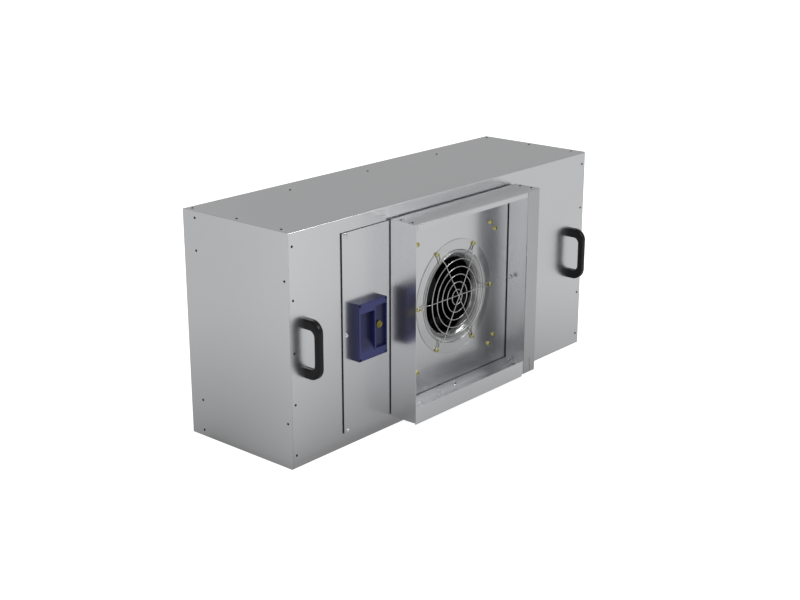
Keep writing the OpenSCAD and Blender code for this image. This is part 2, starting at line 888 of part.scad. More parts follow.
module impeller_screws() {
    color("silver") on_axis() for (a = [0:60:300]) rotate(a) translate([rotor_screw_r, 0, back_y - back_t])
        rotate([180, 0, 0]) socket_screw(m4, 3.5, 2.6, 2 * back_t);
}

cable_route = [[-308, -8.5, 236], [-308, 30, 236], [-303, 72, 239], [-275, 118, 248], [-225, 150, 262],
    [-165, 167, 276], [-110, 170, 284], [-60.1, 170, 285]];
cable_steps = 3;

// A point of the smooth curve through the route's points, by Catmull and Rom's rule.
function route_at(p, i, t) = let (a = p[max(i - 1, 0)], b = p[i], c = p[i + 1], d = p[min(i + 2, len(p) - 1)])
    (2 * b + (c - a) * t + (2 * a - 5 * b + 4 * c - d) * t * t + (3 * b - a - 3 * c + d) * t * t * t) / 2;
function route_points(p, n) = concat([for (i = [0:len(p) - 2], k = [0:n - 1]) route_at(p, i, k / n)],
    [p[len(p) - 1]]);
function unit(v) = v / norm(v);
function run_at(q, i) = unit(q[min(i + 1, len(q) - 1)] - q[max(i - 1, 0)]);
function ring_at(q, i, r, sides) =
    let (run = run_at(q, i), a = unit(cross(run, [0, 0, 1])), b = cross(a, run))
    [for (k = [0:sides - 1]) q[i] + r * (cos(360 * k / sides) * a + sin(360 * k / sides) * b)];

// The lead from the controller to the motor, swept along its route.
module motor_cable() {
    sides = 8;
    q = route_points(cable_route, cable_steps);
    last = len(q) - 1;
    points = [for (i = [0:last], p = ring_at(q, i, cable_r, sides)) p];
    walls = [for (i = [0:last - 1], k = [0:sides - 1]) let (n = (k + 1) % sides)
        [i * sides + k, i * sides + n, (i + 1) * sides + n, (i + 1) * sides + k]];
    low_cap = [for (k = [sides - 1:-1:0]) k];
    high_cap = [for (k = [0:sides - 1]) last * sides + k];
    color("black") translate([0, face_y, 0]) polyhedron(points, concat([low_cap], walls, [high_cap]));
}

module cable_grommet() {
    color("black") translate([grommet_x, face_y, grommet_z]) rotate([-90, 0, 0]) rotate_extrude()
        polygon([[cable_r, control_back - control_base_t], [grommet_r, control_back - control_base_t],
            [grommet_r, panel_back], [grommet_r + 2.5, panel_back], [grommet_r + 2.5, panel_back + 1.5],
            [grommet_r, panel_back + 2.5], [cable_r, panel_back + 2.5]]);
}

module baffle_posts() {
    bracket_back = bracket_y + bracket_t;
    color("silver") on_axis() for (a = [45:90:315]) rotate(a) translate([post_r, 0, 0]) rotate_extrude()
        polygon([[0, bracket_y - 4], [m5, bracket_y - 4], [m5, bracket_back], [6, bracket_back],
            [6, baffle_y], [m5, baffle_y], [m5, baffle_y + baffle_t], [4.5, baffle_y + baffle_t],
            [4.5, baffle_y + 5], [0, baffle_y + 5]]);
}

// A plate with two folded edges that turns the air outwards before the filter.
module flow_baffle() {
    x = baffle_w / 2;
    z0 = axis_z - baffle_h / 2;
    z1 = axis_z + baffle_h / 2;
    color("silver") difference() {
        union() {
            sheet(baffle_y, baffle_t) area(-x, x, z0, z1);
            for (z = [z0, z1 - baffle_t]) slab(-x, x, baffle_y, baffle_y + 14, z, z + baffle_t);
        }
        on_axis() for (a = [45:90:315]) rotate(a) translate([post_r, 0, baffle_y - 1])
            cylinder(r = m5, h = baffle_t + 2);
    }
}

module filter_gasket() {
    x = filter_half_w - 1;
    w = filter_gasket_w;
    color("black") sheet(filter_y - filter_gasket_t, filter_gasket_t) difference() {
        area(-x, x, filter_low + 1, filter_high - 1);
        area(w - x, x - w, filter_low + 1 + w, filter_high - 1 - w);
    }
}

// Section of a filter rail, a channel open towards the pleats: u runs with the air, v outwards.
module rail_section() {
    difference() {
        square([filter_d, rail_w]);
        translate([rail_t, -eps]) square([filter_d - 2 * rail_t, rail_w - rail_t + eps]);
    }
}

module filter_rail_top() {
    color("gainsboro") translate([0, face_y + filter_y, filter_high - rail_w])
        along_x(-filter_half_w, filter_half_w) rail_section();
}

module filter_rail_bottom() {
    color("gainsboro") translate([0, face_y + filter_y, filter_low + rail_w])
        along_x(-filter_half_w, filter_half_w) mirror([0, 1]) rail_section();
}

// The right rail, between the top and the bottom rail.
module end_rail() {
    color("gainsboro") translate([filter_half_w - rail_w, face_y + filter_y, filter_low + rail_w])
        linear_extrude(filter_high - filter_low - 2 * rail_w) mirror([1, 0]) rotate(90) rail_section();
}

module filter_rail_right() { end_rail(); }
module filter_rail_left() { mirror([1, 0, 0]) end_rail(); }

// The folded filter medium: one sheet in deep pleats, its folds upright.
module pleat_pack() {
    fold_count = 2 * floor((filter_half_w - rail_t) / pleat_pitch);
    y0 = face_y + filter_y + rail_t + 2;
    y1 = y0 + filter_d - 2 * rail_t - 8 - pleat_rise;
    fold = [for (i = [-fold_count:fold_count]) [i * pleat_pitch / 2, i % 2 == 0 ? y0 : y1]];
    back = [for (i = [2 * fold_count:-1:0]) fold[i] + [0, pleat_rise]];
    h = filter_high - filter_low - 2 * rail_t;
    color("white") translate([0, 0, filter_low + rail_t]) linear_extrude(h) polygon(concat(fold, back));
}

// The painted grille that guards the clean side of the pleats.
module outlet_grille() {
    x = filter_half_w - rail_w + 8;
    z0 = filter_low + rail_w - 8;
    z1 = filter_high - rail_w + 8;
    rim = 14;
    cell_w = (2 * (x - rim) + grille_rib) / grille_columns;
    cell_h = (z1 - z0 - 2 * rim + grille_rib) / grille_rows;
    color("white") sheet(filter_y + filter_d - rail_t - guard_sheet_t, guard_sheet_t) difference() {
        area(-x, x, z0, z1);
        for (i = [0:grille_columns - 1], k = [0:grille_rows - 1])
            translate([rim - x + i * cell_w, z0 + rim + k * cell_h])
                square([cell_w - grille_rib, cell_h - grille_rib]);
    }
}

// Places children on the eight clips: +Z points outwards to the wall, +Y to the outlet.
module at_clips() {
    wall = clip_wall;
    for (x = [-400, 0, 400]) {
        translate([x, face_y, wall]) children();
        translate([x, face_y, housing_h - wall]) rotate([0, 180, 0]) children();
    }
    end_wall = half_w - sheet_t - seat_t;
    for (s = [-1, 1]) translate([s * end_wall, face_y, axis_z]) rotate([0, s * 90, 0]) children();
}

// A bent clip: one leg on the wall, the other over the filter's frame.
module filter_clips() {
    clip_end = filter_y + filter_d + clip_t;
    reach = filter_gap + 9;
    color("silver") difference() {
        at_clips() {
            translate([-clip_w / 2, clip_end - 24, -clip_t]) cube([clip_w, 24, clip_t]);
            translate([-clip_w / 2, clip_end - clip_t, -reach]) cube([clip_w, clip_t, reach]);
        }
        at_clips() translate([0, clip_screw_y, -5]) cylinder(r = clip_screw_r, h = 20);
    }
}

module clip_screws() {
    color("silver") at_clips() translate([0, clip_screw_y, -clip_t]) rotate([180, 0, 0])
        socket_screw(clip_screw_r, 4, 2.4, clip_t + seat_t);
}

// Outline of the controller box.
module control_outline(inset) {
    x0 = control_x - control_w / 2 + inset;
    z0 = control_z - control_h / 2 + inset;
    round_area(x0, x0 + control_w - 2 * inset, z0, z0 + control_h - 2 * inset, control_corner_r - inset);
}

module controller_base() {
    color("mediumslateblue") difference() {
        sheet(control_back - control_base_t, control_base_t) control_outline(0);
        facing_front(grommet_x, 0, grommet_z) drill(grommet_r);
        at_controller_screws(0) drill(m4);
    }
}

// The moulded lid: a finger scoop on the left, a sunk window with the knob on the right.
module controller_lid() {
    x_wall = window_x - window_w / 2;
    x_right = control_x + control_w / 2 - 3;
    z0 = control_z - control_h / 2 + 12;
    z1 = control_z + control_h / 2 - 12;
    lid_back = control_back - control_base_t;
    scoop_floor = control_front + scoop_d;
    color("mediumslateblue") difference() {
        union() {
            sheet(control_front + 1.5, control_d - control_base_t - 1.5) control_outline(0);
            sheet(control_front, 1.5) control_outline(1);
        }
        along_x(scoop_x - scoop_w / 2, scoop_x + scoop_w / 2) translate([face_y, 0]) polygon([
            [control_front - 1, scoop_high], [scoop_floor, scoop_high], [scoop_floor, scoop_low + scoop_ramp],
            [control_front, scoop_low], [control_front - 1, scoop_low]]);
        slab(window_x - window_w / 2, window_x + window_w / 2, control_front - 1, control_front + window_d,
            window_low, window_high);
        slab(x_wall, x_right, control_front + window_d + 3, lid_back + eps, z0, z1);
        facing_front(knob_x, 0, knob_z) drill(dial_bush_r);
        at_controller_screws(control_front) {
            drill(m4);
            translate([0, 0, -3]) cylinder(r = 3.5, h = 4);
        }
    }
}

module controller_screws() {
    color("black") at_controller_screws(control_front + 3) socket_screw(m4, 3.2, 2.4, control_d + 1);
}

module control_board() {
    half = window_w / 2 - 0.5;
    color("darkgreen") difference() {
        sheet(board_face, board_t) area(window_x - half, window_x + half,
            control_z - board_half_h, control_z + board_half_h);
        facing_front(grommet_x, 0, grommet_z) drill(cable_r - 1);
    }
}

// The rotary control on the board, with the bush that the knob's shaft turns in.
module speed_dial() {
    bush_front = control_front + window_d - 2;
    body_front = control_front + window_d + 3;
    color("gray") facing_front(knob_x, 0, knob_z) rotate_extrude() polygon([
        [0, -board_face], [8, -board_face], [8, -body_front], [dial_bush_r, -body_front],
        [dial_bush_r, -bush_front], [knob_shaft_r + bearing_gap, -bush_front],
        [knob_shaft_r + bearing_gap, -board_face + 2], [0, -board_face + 2]]);
}

// The speed knob: a round skirt, a grip bar across it and its shaft.
module speed_knob() {
    skirt_back = -(control_front + window_d - 2.5);
    shaft_back = -(board_face - 2.5);
    top = skirt_back + knob_h;
    color("gold") facing_front(knob_x, 0, knob_z) {
        rotate_extrude() polygon([[0, shaft_back], [knob_shaft_r, shaft_back], [knob_shaft_r, skirt_back],
            [knob_d / 2, skirt_back], [knob_d / 2, skirt_back + 2], [knob_d / 2 - 0.8, top - 4],
            [0, top - 4]]);
        rotate(35) intersection() {
            translate([-knob_d / 2, -3, top - 4.5]) cube([knob_d, 6, 4.5]);
            translate([0, 0, top - 5]) cylinder(d = knob_d - 4, h = 6);
        }
    }
}

// Outline of a handle seen from its side: round shoulders in front, drawn in by an inset.
module handle_outline(inset) {
    r = handle_r - inset;
    y0 = face_y - handle_d + inset;
    z0 = handle_z - handle_h / 2 + inset;
    z1 = handle_z + handle_h / 2 - inset;
    intersection() {
        union() {
            area(y0 + r, face_y, z0, z1);
            area(y0, face_y, z0 + r, z1 - r);
            for (z = [z0 + r, z1 - r]) translate([y0 + r, z]) circle(r, $fn = 32);
        }
        area(y0, face_y, z0, z1);
    }
}

// The gap for the fingers, round in its two front corners.
module finger_gap() {
    r = handle_r / 2;
    y0 = face_y - handle_d + handle_grip;
    z0 = handle_z - handle_h / 2 + handle_leg;
    z1 = handle_z + handle_h / 2 - handle_leg;
    area(y0 + r, face_y + eps, z0, z1);
    area(y0, face_y + eps, z0 + r, z1 - r);
    for (z = [z0 + r, z1 - r]) translate([y0 + r, z]) circle(r);
}

// A moulded bridge handle with bevelled edges, drilled for its two screws from behind.
module handle(x) {
    bevel = 3;
    side = handle_w / 2;
    color("black") difference() {
        hull() {
            along_x(x - side, x + side) handle_outline(bevel);
            along_x(x - side + bevel, x + side - bevel) handle_outline(0);
        }
        along_x(x - side - eps, x + side + eps) finger_gap();
        at_handle_screws(0) translate([0, 0, -eps]) cylinder(r = m6, h = 22);
    }
}

module handle_left() { handle(-handle_x); }
module handle_right() { handle(handle_x); }

module handle_screws() {
    color("silver") for (s = [-1, 1], k = [-1, 1])
        translate([s * handle_x, face_y + 2 * sheet_t, handle_z + k * handle_pitch / 2]) rotate([-90, 0, 0])
            socket_screw(m6, 5.5, 5, 2 * sheet_t + 20);
}

wrap_sheet();
end_panel_left();
end_panel_right();
handle_angle_left();
handle_angle_right();
shell_rivets();
filter_seat();
liner_top();
liner_bottom();
liner_left();
liner_right();
access_gasket();
access_panel();
access_screws();
collar_gasket();
collar_left();
collar_right();
collar_top();
collar_bottom();
collar_screws();
collar_rivets();
inlet_nozzle();
finger_guard();
guard_screws();
bracket_screws();
fan_bracket();
motor_stator();
stator_screws();
front_bearing();
rear_bearing();
motor_shaft();
motor_rotor();
impeller_backplate();
impeller_blades();
impeller_shroud();
impeller_screws();
motor_cable();
cable_grommet();
baffle_posts();
flow_baffle();
filter_gasket();
filter_rail_top();
filter_rail_bottom();
filter_rail_left();
filter_rail_right();
pleat_pack();
outlet_grille();
filter_clips();
clip_screws();
controller_base();
controller_lid();
controller_screws();
control_board();
speed_dial();
speed_knob();
handle_left();
handle_right();
handle_screws();
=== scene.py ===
import json
import math

import bpy
import numpy as np
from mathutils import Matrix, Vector


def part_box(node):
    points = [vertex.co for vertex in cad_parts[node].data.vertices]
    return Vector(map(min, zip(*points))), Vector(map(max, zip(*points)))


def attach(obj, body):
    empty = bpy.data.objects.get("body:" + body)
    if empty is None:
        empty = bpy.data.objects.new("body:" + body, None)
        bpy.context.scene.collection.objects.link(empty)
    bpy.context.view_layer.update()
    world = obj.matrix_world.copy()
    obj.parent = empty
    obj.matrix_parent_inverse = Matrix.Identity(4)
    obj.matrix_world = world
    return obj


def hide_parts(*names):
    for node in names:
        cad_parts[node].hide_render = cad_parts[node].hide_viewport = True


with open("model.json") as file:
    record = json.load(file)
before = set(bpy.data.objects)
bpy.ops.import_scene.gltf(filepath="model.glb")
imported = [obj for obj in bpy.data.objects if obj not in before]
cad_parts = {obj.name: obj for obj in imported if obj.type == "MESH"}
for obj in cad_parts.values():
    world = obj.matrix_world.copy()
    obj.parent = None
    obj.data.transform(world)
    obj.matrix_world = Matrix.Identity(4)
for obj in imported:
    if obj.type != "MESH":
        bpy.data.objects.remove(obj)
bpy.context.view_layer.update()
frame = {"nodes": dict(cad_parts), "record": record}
nodes = frame["nodes"]
mm = 0.001

# Depths are counted in millimetres behind the inlet face, as on a drawing of the unit.
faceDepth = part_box("wrap_sheet")[0].y
axisHeight = 0.285
axisZ = 1000 * axisHeight
print("frame loaded:", len(nodes), "nodes")


# The camera: where it looks, and how far round and up it stands, in degrees.
cameraValues = {
    "target": (-0.20798, -0.1315, 0.32437),
    "azimuth": -49.055,
    "elevation": 17.822,
    "distance": 3.36237,
    "lens": 61.65,
    "sensor": 36.0,
}


def makeCamera(values):
    a, e = math.radians(values["azimuth"]), math.radians(values["elevation"])
    back = Vector((math.sin(a) * math.cos(e), -math.cos(a) * math.cos(e), math.sin(e)))
    data = bpy.data.cameras.new("camera")
    data.lens = values["lens"]
    data.sensor_width = values["sensor"]
    camera = bpy.data.objects.new("camera", data)
    camera.location = Vector(values["target"]) + back * values["distance"]
    camera.rotation_mode = "QUATERNION"
    camera.rotation_quaternion = (-back).to_track_quat("-Z", "Y")
    bpy.context.scene.collection.objects.link(camera)
    bpy.context.scene.camera = camera


makeCamera(cameraValues)


# The studio: white paper to the eye, whose light falls off towards the foot of the unit.
studioValues = {
    "floorSize": 40.0,
    "foot": (-0.22, 0.38, 0.16),  # middle in x and half sizes of the dim patch of floor
    "floorNear": 0.255,      # light of the floor at the unit's foot,
    "floorFar": 0.635,       # and where it has risen to its full value
    "floorReach": 1.0,       # metres that this takes
    "floorEase": 0.5,        # power of the distance by which it rises
    "floorBehind": 0.86,     # share of that light behind the unit
    "behindReach": 0.4,      # metres before and behind the middle over which that share sets in
    "floorLeft": 0.14,       # light that the floor gains in front on the left
    "leftNear": 0.3,         # where that gain begins, along x and y added up and turned round,
    "leftFar": 1.2,          # and where it is full
    "paperShade": 0.9,
    "paperGlow": 0.86,       # the floor's own light to the camera
    "horizon": 0.41,
    "zenith": 0.385,
    "zenithRise": 0.8,       # height of the view at which the sky is as at its zenith
    "lights": [
        # name, place, aim, width, height, watts
        ("keyBox", (1.9, -3.0, 3.0), (0.0, 0.0, 0.25), 1.5, 1.5, 36.0),
        ("fillBox", (-3.8, -1.6, 2.6), (0.0, 0.0, 0.3), 1.8, 1.2, 9.0),
        ("backBox", (0.3, 3.4, 2.8), (0.0, 0.0, 0.3), 2.6, 1.4, 17.0),
    ],
}


def makeLight(name, place, aim, width, height, watts):
    data = bpy.data.lights.new(name, "AREA")
    data.shape = "RECTANGLE"
    data.size = width
    data.size_y = height
    data.energy = watts
    light = bpy.data.objects.new(name, data)
    light.location = place
    light.rotation_mode = "QUATERNION"
    light.rotation_quaternion = (Vector(aim) - Vector(place)).to_track_quat("-Z", "Y")
    bpy.context.scene.collection.objects.link(light)


def addNode(tree, kind, **settings):
    node = tree.nodes.new(kind)
    for key, value in settings.items():
        node.inputs[key.replace("_", " ")].default_value = value
    return node


def sums(tree, operation, first, second=None):
    # A maths node; each of its two values is a socket or a number.
    node = tree.nodes.new("ShaderNodeMath")
    node.operation = operation
    for slot, value in enumerate((first, second)):
        if hasattr(value, "is_output"):
            tree.links.new(value, node.inputs[slot])
        elif value is not None:
            node.inputs[slot].default_value = value
    return node.outputs[0]


def makeWorld(values):
    world = bpy.data.worlds.new("studio")
    bpy.context.scene.world = world
    world.use_nodes = True
    tree = world.node_tree
    sky = tree.nodes["Background"]
    sky.inputs["Color"].default_value = (1, 1, 1, 1)
    where = tree.nodes.new("ShaderNodeTexCoord")
    split = tree.nodes.new("ShaderNodeSeparateXYZ")
    tree.links.new(where.outputs["Generated"], split.inputs[0])
    rise = addNode(tree, "ShaderNodeMapRange", From_Min=0.0, From_Max=values["zenithRise"],
                   To_Min=values["horizon"], To_Max=values["zenith"])
    tree.links.new(split.outputs["Z"], rise.inputs["Value"])
    # The paper is plain white where it is seen, and softer where it lights the unit.
    ray = tree.nodes.new("ShaderNodeLightPath")
    seen = sums(tree, "MAXIMUM", rise.outputs["Result"], ray.outputs["Is Camera Ray"])
    tree.links.new(seen, sky.inputs["Strength"])


def makeFloor(values):
    half = values["floorSize"] / 2
    mesh = bpy.data.meshes.new("floor")
    corners = [(-half, -half, 0), (half, -half, 0), (half, half, 0), (-half, half, 0)]
    mesh.from_pydata(corners, [], [(0, 1, 2, 3)])
    floor = bpy.data.objects.new("floor", mesh)
    bpy.context.scene.collection.objects.link(floor)
    paper = bpy.data.materials.new("floorPaper")
    paper.use_nodes = True
    tree = paper.node_tree
    surface = tree.nodes["Principled BSDF"]
    surface.inputs["Base Color"].default_value = (*[values["paperShade"]] * 3, 1)
    surface.inputs["Roughness"].default_value = 0.9
    surface.inputs["Specular IOR Level"].default_value = 0.0
    surface.inputs["Emission Color"].default_value = (1, 1, 1, 1)
    surface.inputs["Emission Strength"].default_value = values["paperGlow"]
    # Distance from the rectangle that the unit stands on.
    where = tree.nodes.new("ShaderNodeTexCoord")
    split = tree.nodes.new("ShaderNodeSeparateXYZ")
    tree.links.new(where.outputs["Object"], split.inputs[0])
    middle, halfWidth, halfDepth = values["foot"]
    gaps = []
    for axis, centre, size in (("X", middle, halfWidth), ("Y", 0.0, halfDepth)):
        gap = sums(tree, "ABSOLUTE", sums(tree, "SUBTRACT", split.outputs[axis], centre))
        past = sums(tree, "MAXIMUM", sums(tree, "SUBTRACT", gap, size), 0.0)
        gaps.append(sums(tree, "POWER", past, 2.0))
    away = sums(tree, "SQRT", sums(tree, "ADD", gaps[0], gaps[1]))
    share = sums(tree, "MINIMUM", sums(tree, "DIVIDE", away, values["floorReach"]), 1.0)
    eased = sums(tree, "POWER", share, values["floorEase"])
    glow = addNode(tree, "ShaderNodeMapRange", To_Min=values["floorNear"], To_Max=values["floorFar"])
    tree.links.new(eased, glow.inputs["Value"])
    light = addNode(tree, "ShaderNodeEmission", Color=(1, 1, 1, 1))
    behind = addNode(tree, "ShaderNodeMapRange", From_Min=-values["behindReach"],
                     From_Max=values["behindReach"], To_Min=1.0, To_Max=values["floorBehind"])
    tree.links.new(split.outputs["Y"], behind.inputs["Value"])
    strength = sums(tree, "MULTIPLY", glow.outputs["Result"], behind.outputs["Result"])
    # The front left corner is brighter: it rises with the distance along the diagonal there.
    leftward = sums(tree, "MULTIPLY", split.outputs["X"], -1.0)
    forward = sums(tree, "MULTIPLY", split.outputs["Y"], -1.0)
    corner = sums(tree, "ADD", leftward, forward)
    side = addNode(tree, "ShaderNodeMapRange", From_Min=values["leftNear"],
                   From_Max=values["leftFar"], To_Min=0.0, To_Max=values["floorLeft"])
    side.interpolation_type = "SMOOTHSTEP"
    tree.links.new(corner, side.inputs["Value"])
    strength = sums(tree, "ADD", strength, side.outputs["Result"])
    tree.links.new(strength, light.inputs["Strength"])
    ray = tree.nodes.new("ShaderNodeLightPath")
    mix = tree.nodes.new("ShaderNodeMixShader")
    tree.links.new(ray.outputs["Is Camera Ray"], mix.inputs[0])
    tree.links.new(light.outputs[0], mix.inputs[1])
    tree.links.new(surface.outputs[0], mix.inputs[2])
    tree.links.new(mix.outputs[0], tree.nodes["Material Output"].inputs["Surface"])
    mesh.materials.append(paper)


bpy.context.scene.view_settings.view_transform = "Standard"
makeWorld(studioValues)
makeFloor(studioValues)
for lightRow in studioValues["lights"]:
    makeLight(*lightRow)
print("studio made")


# Every finish is a Principled surface whose colour, gloss and relief vary with noise on Object
# coordinates. "patch" is the size of the broad variation and "grain" that of the fine one, in
# metres; "stretch" draws the grain out along an axis, and "rings" turns it about the fan's axis.
# The painted-shade key darkens the colour by place, which is painted shade, and brightens it where its
# share is above one, which is painted light: what is measured, its two values, and the share at the
# first.
finishes = {
    "sheet_metal": {"colour": (0.775, 0.782, 0.795), "metal": 1.0, "rough": 0.25, "patch": 0.35,
                    "spread": 0.012, "roughSpread": 0.02, "grain": 0.004, "relief": 0.000008},
    "inner_steel": {"colour": (0.60, 0.61, 0.62), "metal": 1.0, "rough": 0.40, "patch": 0.012,
                    "spread": 0.10, "roughSpread": 0.07, "grain": 0.002, "relief": 0.00002},
    "dark_rivet": {"colour": (0.035, 0.035, 0.038), "metal": 0.7, "rough": 0.42, "patch": 0.004,
                   "spread": 0.25, "roughSpread": 0.1, "grain": 0.0006, "relief": 0.00001},
    "foam": {"colour": (0.045, 0.045, 0.05), "metal": 0.0, "rough": 0.95, "patch": 0.012,
             "spread": 0.2, "roughSpread": 0.03, "grain": 0.0018, "relief": 0.0008},
    "seal_rubber": {"colour": (0.012, 0.012, 0.012), "metal": 0.0, "rough": 0.8, "patch": 0.01,
                    "spread": 0.25, "roughSpread": 0.08, "grain": 0.0009, "relief": 0.0001},
    "silver_screw": {"colour": (0.86, 0.865, 0.87), "metal": 1.0, "rough": 0.14, "patch": 0.004,
                     "spread": 0.05, "roughSpread": 0.06, "grain": 0.0005, "relief": 0.00001},
    "yellow_zinc": {"colour": (0.80, 0.73, 0.27), "metal": 1.0, "rough": 0.30, "patch": 0.003,
                    "spread": 0.2, "roughSpread": 0.08, "grain": 0.0005, "relief": 0.00001},
    # Painted shade: the nozzle's colour falls to 0.36 of itself from 127 mm to 98 mm from the axis,
    # darkening the throat.
    "nozzle_metal": {"colour": (0.70, 0.705, 0.715), "metal": 1.0, "rough": 0.16, "patch": 0.05,
                     "spread": 0.03, "roughSpread": 0.03, "grain": 0.0014, "relief": 0.00001,
                     "rings": True, "paintedShadeAndLight": ("radius", 0.098, 0.127, 0.36)},
    "guard_wire": {"colour": (0.66, 0.66, 0.65), "metal": 1.0, "rough": 0.13, "patch": 0.012,
                   "spread": 0.05, "roughSpread": 0.04, "grain": 0.0006, "relief": 0.00001},
    "motor_cast": {"colour": (0.055, 0.055, 0.058), "metal": 0.8, "rough": 0.55, "patch": 0.006,
                   "spread": 0.15, "roughSpread": 0.08, "grain": 0.0012, "relief": 0.0002},
    "impeller_black": {"colour": (0.008, 0.008, 0.009), "metal": 0.0, "rough": 0.45, "patch": 0.015,
                       "spread": 0.2, "roughSpread": 0.08, "grain": 0.0008, "relief": 0.00004},
    "cable_sheath": {"colour": (0.015, 0.015, 0.015), "metal": 0.0, "rough": 0.6, "patch": 0.01,
                     "spread": 0.2, "roughSpread": 0.05, "grain": 0.001, "relief": 0.00003},
    "rail_metal": {"colour": (0.56, 0.565, 0.57), "metal": 1.0, "rough": 0.34, "patch": 0.08,
                   "spread": 0.02, "roughSpread": 0.04, "grain": 0.0005, "relief": 0.000008,
                   "stretch": (0.04, 1, 1)},
    "filter_paper": {"colour": (0.80, 0.80, 0.775), "metal": 0.0, "rough": 0.95, "patch": 0.012,
                     "spread": 0.04, "roughSpread": 0.03, "grain": 0.0008, "relief": 0.0001},
    "grille_paint": {"colour": (0.76, 0.76, 0.745), "metal": 0.0, "rough": 0.36, "patch": 0.03,
                     "spread": 0.02, "roughSpread": 0.05, "grain": 0.0010, "relief": 0.00003},
    "blue_plastic": {"colour": (0.038, 0.044, 0.180), "metal": 0.0, "rough": 0.38, "patch": 0.02,
                     "spread": 0.08, "roughSpread": 0.05, "grain": 0.0007, "relief": 0.00005},
    "black_screw": {"colour": (0.008, 0.008, 0.009), "metal": 0.4, "rough": 0.36, "patch": 0.003,
                    "spread": 0.2, "roughSpread": 0.08, "grain": 0.0005, "relief": 0.00001},
    "board_green": {"colour": (0.015, 0.10, 0.035), "metal": 0.0, "rough": 0.4, "patch": 0.006,
                    "spread": 0.12, "roughSpread": 0.05, "grain": 0.001, "relief": 0.00003},
    "dial_plastic": {"colour": (0.05, 0.05, 0.05), "metal": 0.0, "rough": 0.5, "patch": 0.006,
                     "spread": 0.1, "roughSpread": 0.05, "grain": 0.0007, "relief": 0.00002},
    "yellow_plastic": {"colour": (0.27, 0.235, 0.018), "metal": 0.0, "rough": 0.22, "patch": 0.005,
                       "spread": 0.12, "roughSpread": 0.06, "grain": 0.0006, "relief": 0.00002},
    "handle_plastic": {"colour": (0.004, 0.004, 0.0045), "metal": 0.0, "rough": 0.30, "patch": 0.015,
                       "spread": 0.2, "roughSpread": 0.05, "grain": 0.0007, "relief": 0.00003,
                       "specular": 0.28},
}
# The noise's values between which a finish goes from one end of its range to the other.
noiseLow, noiseHigh = 0.3, 0.7


def ringCoordinate(tree, where):
    # Radius from the fan's axis and depth along it, so that a pattern runs round the axis.
    split = tree.nodes.new("ShaderNodeSeparateXYZ")
    tree.links.new(where, split.inputs[0])
    height = sums(tree, "SUBTRACT", split.outputs["Z"], axisHeight)
    across = sums(tree, "POWER", sums(tree, "ABSOLUTE", split.outputs["X"]), 2.0)
    upward = sums(tree, "POWER", sums(tree, "ABSOLUTE", height), 2.0)
    radius = sums(tree, "SQRT", sums(tree, "ADD", across, upward))
    joined = tree.nodes.new("ShaderNodeCombineXYZ")
    tree.links.new(radius, joined.inputs[0])
    tree.links.new(split.outputs["Y"], joined.inputs[1])
    return joined.outputs[0]


def makeFinish(name, values):
    made = bpy.data.materials.new(name)
    made.use_nodes = True
    tree = made.node_tree
    surface = tree.nodes["Principled BSDF"]
    surface.inputs["Metallic"].default_value = values["metal"]
    surface.inputs["Specular IOR Level"].default_value = values.get("specular", 0.5)
    where = tree.nodes.new("ShaderNodeTexCoord").outputs["Object"]
    grainPlace = ringCoordinate(tree, where) if values.get("rings") else where

    patch = addNode(tree, "ShaderNodeTexNoise", Scale=1 / values["patch"], Detail=3.0, Roughness=0.55)
    tree.links.new(where, patch.inputs["Vector"])
    stretched = addNode(tree, "ShaderNodeMapping", Scale=values.get("stretch", (1, 1, 1)))
    tree.links.new(grainPlace, stretched.inputs["Vector"])
    grain = addNode(tree, "ShaderNodeTexNoise", Scale=1 / values["grain"], Detail=2.0, Roughness=0.6)
    tree.links.new(stretched.outputs["Vector"], grain.inputs["Vector"])

    shade = tree.nodes.new("ShaderNodeValToRGB")
    for stop, place, sign in zip(shade.color_ramp.elements, (noiseLow, noiseHigh), (-1, 1)):
        stop.position = place
        stop.color = [c * (1 + sign * values["spread"]) for c in values["colour"]] + [1]
    tree.links.new(patch.outputs["Fac"], shade.inputs["Fac"])
    colour = shade.outputs["Color"]
    if "paintedShadeAndLight" in values:
        # Painted shade and light: the colour goes to a share of itself from the second value to the
        # first, counted from the fan's axis or along the depth. A share below one paints shade and a
        # share above one paints light.
        measure, inner, outer, share = values["paintedShadeAndLight"]
        split = tree.nodes.new("ShaderNodeSeparateXYZ")
        tree.links.new(grainPlace if measure == "radius" else where, split.inputs[0])
        fade = addNode(tree, "ShaderNodeMapRange", From_Min=inner, From_Max=outer,
                       To_Min=share, To_Max=1.0)
        tree.links.new(split.outputs["X" if measure == "radius" else "Y"], fade.inputs["Value"])
        shadedColour = tree.nodes.new("ShaderNodeVectorMath")
        shadedColour.operation = "SCALE"
        tree.links.new(colour, shadedColour.inputs[0])
        tree.links.new(fade.outputs["Result"], shadedColour.inputs["Scale"])
        colour = shadedColour.outputs[0]
    tree.links.new(colour, surface.inputs["Base Color"])

    gloss = addNode(tree, "ShaderNodeMapRange", From_Min=noiseLow, From_Max=noiseHigh,
                    To_Min=values["rough"] - values["roughSpread"],
                    To_Max=values["rough"] + values["roughSpread"])
    tree.links.new(patch.outputs["Fac"], gloss.inputs["Value"])
    tree.links.new(gloss.outputs["Result"], surface.inputs["Roughness"])

    relief = addNode(tree, "ShaderNodeBump", Strength=1.0, Distance=values["relief"])
    tree.links.new(grain.outputs["Fac"], relief.inputs["Height"])
    tree.links.new(relief.outputs["Normal"], surface.inputs["Normal"])
    return made
